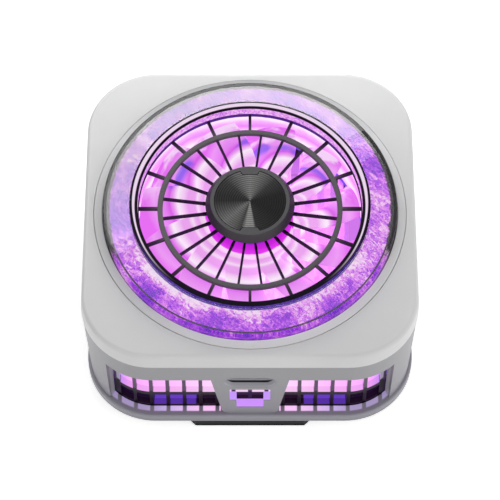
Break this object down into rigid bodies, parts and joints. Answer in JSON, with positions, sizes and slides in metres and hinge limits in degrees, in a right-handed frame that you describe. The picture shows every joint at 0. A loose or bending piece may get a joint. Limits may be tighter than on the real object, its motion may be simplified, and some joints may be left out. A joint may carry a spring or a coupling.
{
  "type": "phone cooling fan",
  "caption": "Square magnetic phone cooler: round lit ring, fan grille and hub cap on top, exhaust windows, port and pad below.",
  "frame": {"origin": "centre of the contact pad's underside, the face that lies on the phone", "axes": "+Z from the pad up to the fan grille along the fan's axis, -Y towards the charging port, +X to the right"},
  "size_m": [0.0644, 0.0644, 0.0341],
  "materials": {
    "cover_white": "satin moulded shell",
    "shell_grey": "satin moulded shell",
    "ring_silver": "glossy silver ring",
    "crystal_clear": "clear moulded ring",
    "ice_violet": "milky textured light ring",
    "grille_grey": "fine matte",
    "hub_metal": "turned concentric grooves",
    "fan_milky": "milky translucent blades",
    "duct_black": "matte",
    "grid_smoke": "smoked",
    "guide_milky": "milky light guide",
    "board_green": "solder resist",
    "lamp_white": "lamp package",
    "chip_black": "matte",
    "steel": "bright",
    "magnet_nickel": "plated",
    "bronze": "sintered",
    "copper_coil": "enamelled wire",
    "heat_aluminium": "plain",
    "ceramic": "ceramic",
    "foam_black": "closed cell foam",
    "foot_black": "matte",
    "pad_black": "soft touch"
  },
  "bodies": {
    "housing": {"top_cover": "cover_white", "bezel_ring": "ring_silver", "crystal_lens": "crystal_clear", "well_ring": "crystal_clear", "ice_diffuser": "ice_violet", "led_ring_board": "board_green", "led_chips": "lamp_white", "fan_grille": "grille_grey", "hub_cap": "grille_grey", "hub_plate": "hub_metal", "fan_duct": "duct_black", "bearing_sleeve": "bronze", "motor_mount": "duct_black", "motor_stator": "steel", "stator_coils": "copper_coil", "waist_shell": "shell_grey", "front_grid": "grid_smoke", "back_grid": "grid_smoke", "left_grid": "grid_smoke", "right_grid": "grid_smoke", "front_light_guide": "guide_milky", "back_light_guide": "guide_milky", "left_light_guide": "guide_milky", "right_light_guide": "guide_milky", "guide_led_strips": "lamp_white", "base_tray": "shell_grey", "cold_plate": "heat_aluminium", "peltier_module": "ceramic", "insulating_gasket": "foam_black", "heat_sink": "heat_aluminium", "magnet_foot": "foot_black", "magnet_ring": "magnet_nickel", "contact_pad": "pad_black", "port_shell": "steel", "port_tongue": "chip_black", "main_board": "board_green", "board_chips": "chip_black", "case_screws": "steel", "frame_screws": "steel", "heat_sink_screws": "steel", "board_screws": "steel"},
    "rotor": {"impeller": "fan_milky", "rotor_cup": "steel", "rotor_magnet": "foot_black", "fan_shaft": "steel"}
  },
  "joints": [
    {"name": "fan_spin", "type": "hinge", "parent": "housing", "child": "rotor", "pos_m": [0, 0, 0.0256], "axis": [0, 0, 1], "continuous": true}
  ]
}
